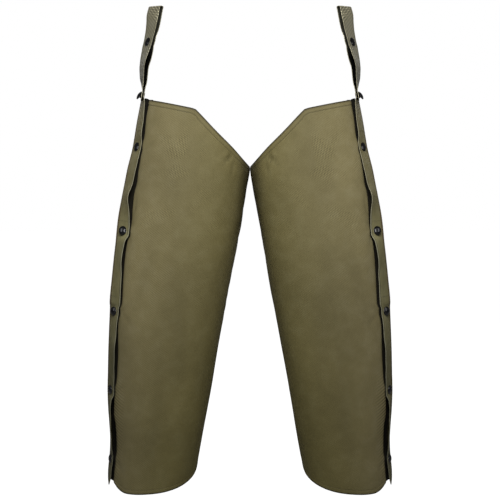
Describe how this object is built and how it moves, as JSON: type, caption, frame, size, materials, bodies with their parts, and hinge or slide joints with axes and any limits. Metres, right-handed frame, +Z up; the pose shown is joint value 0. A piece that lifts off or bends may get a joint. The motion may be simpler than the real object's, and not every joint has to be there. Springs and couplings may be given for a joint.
{
  "type": "waterproof chaps",
  "caption": "Pair of waterproof leg covers, open at top and hem, hung from snap belt loops; each wrapped panel closes down its outer side under a placket with press studs.",
  "frame": {"origin": "midway between the tops of the two belt loops, on the belt line where the wearer's belt holds the pair", "axes": "+X to the wearer's left, -Y out of the front, +Z up; the two legs mirror each other across X = 0"},
  "size_m": [0.6404, 0.2378, 1.0479],
  "materials": {
    "coated_cloth": "matt woven face, waterproof coated",
    "placket_cloth": "matt woven face, folded and topstitched",
    "black_stud_metal": "black lacquered press stud"
  },
  "bodies": {
    "root": {"right_leg_panel": "coated_cloth", "right_placket": "placket_cloth", "right_belt_loop": "placket_cloth", "right_hip_stud_cap": "black_stud_metal", "right_hip_stud_socket": "black_stud_metal", "right_hip_stud_ring": "black_stud_metal", "right_thigh_stud_cap": "black_stud_metal", "right_thigh_stud_socket": "black_stud_metal", "right_thigh_stud_ring": "black_stud_metal", "right_knee_stud_cap": "black_stud_metal", "right_knee_stud_socket": "black_stud_metal", "right_knee_stud_ring": "black_stud_metal", "right_calf_stud_cap": "black_stud_metal", "right_calf_stud_socket": "black_stud_metal", "right_calf_stud_ring": "black_stud_metal", "right_hem_stud_cap": "black_stud_metal", "right_hem_stud_socket": "black_stud_metal", "right_hem_stud_ring": "black_stud_metal", "right_loop_upper_stud_cap": "black_stud_metal", "right_loop_upper_stud_socket": "black_stud_metal", "right_loop_upper_stud_ring": "black_stud_metal", "right_loop_lower_stud_cap": "black_stud_metal", "right_loop_lower_stud_socket": "black_stud_metal", "right_loop_lower_stud_ring": "black_stud_metal", "left_leg_panel": "coated_cloth", "left_placket": "placket_cloth", "left_belt_loop": "placket_cloth", "left_hip_stud_cap": "black_stud_metal", "left_hip_stud_socket": "black_stud_metal", "left_hip_stud_ring": "black_stud_metal", "left_thigh_stud_cap": "black_stud_metal", "left_thigh_stud_socket": "black_stud_metal", "left_thigh_stud_ring": "black_stud_metal", "left_knee_stud_cap": "black_stud_metal", "left_knee_stud_socket": "black_stud_metal", "left_knee_stud_ring": "black_stud_metal", "left_calf_stud_cap": "black_stud_metal", "left_calf_stud_socket": "black_stud_metal", "left_calf_stud_ring": "black_stud_metal", "left_hem_stud_cap": "black_stud_metal", "left_hem_stud_socket": "black_stud_metal", "left_hem_stud_ring": "black_stud_metal", "left_loop_upper_stud_cap": "black_stud_metal", "left_loop_upper_stud_socket": "black_stud_metal", "left_loop_upper_stud_ring": "black_stud_metal", "left_loop_lower_stud_cap": "black_stud_metal", "left_loop_lower_stud_socket": "black_stud_metal", "left_loop_lower_stud_ring": "black_stud_metal"}
  },
  "joints": []
}
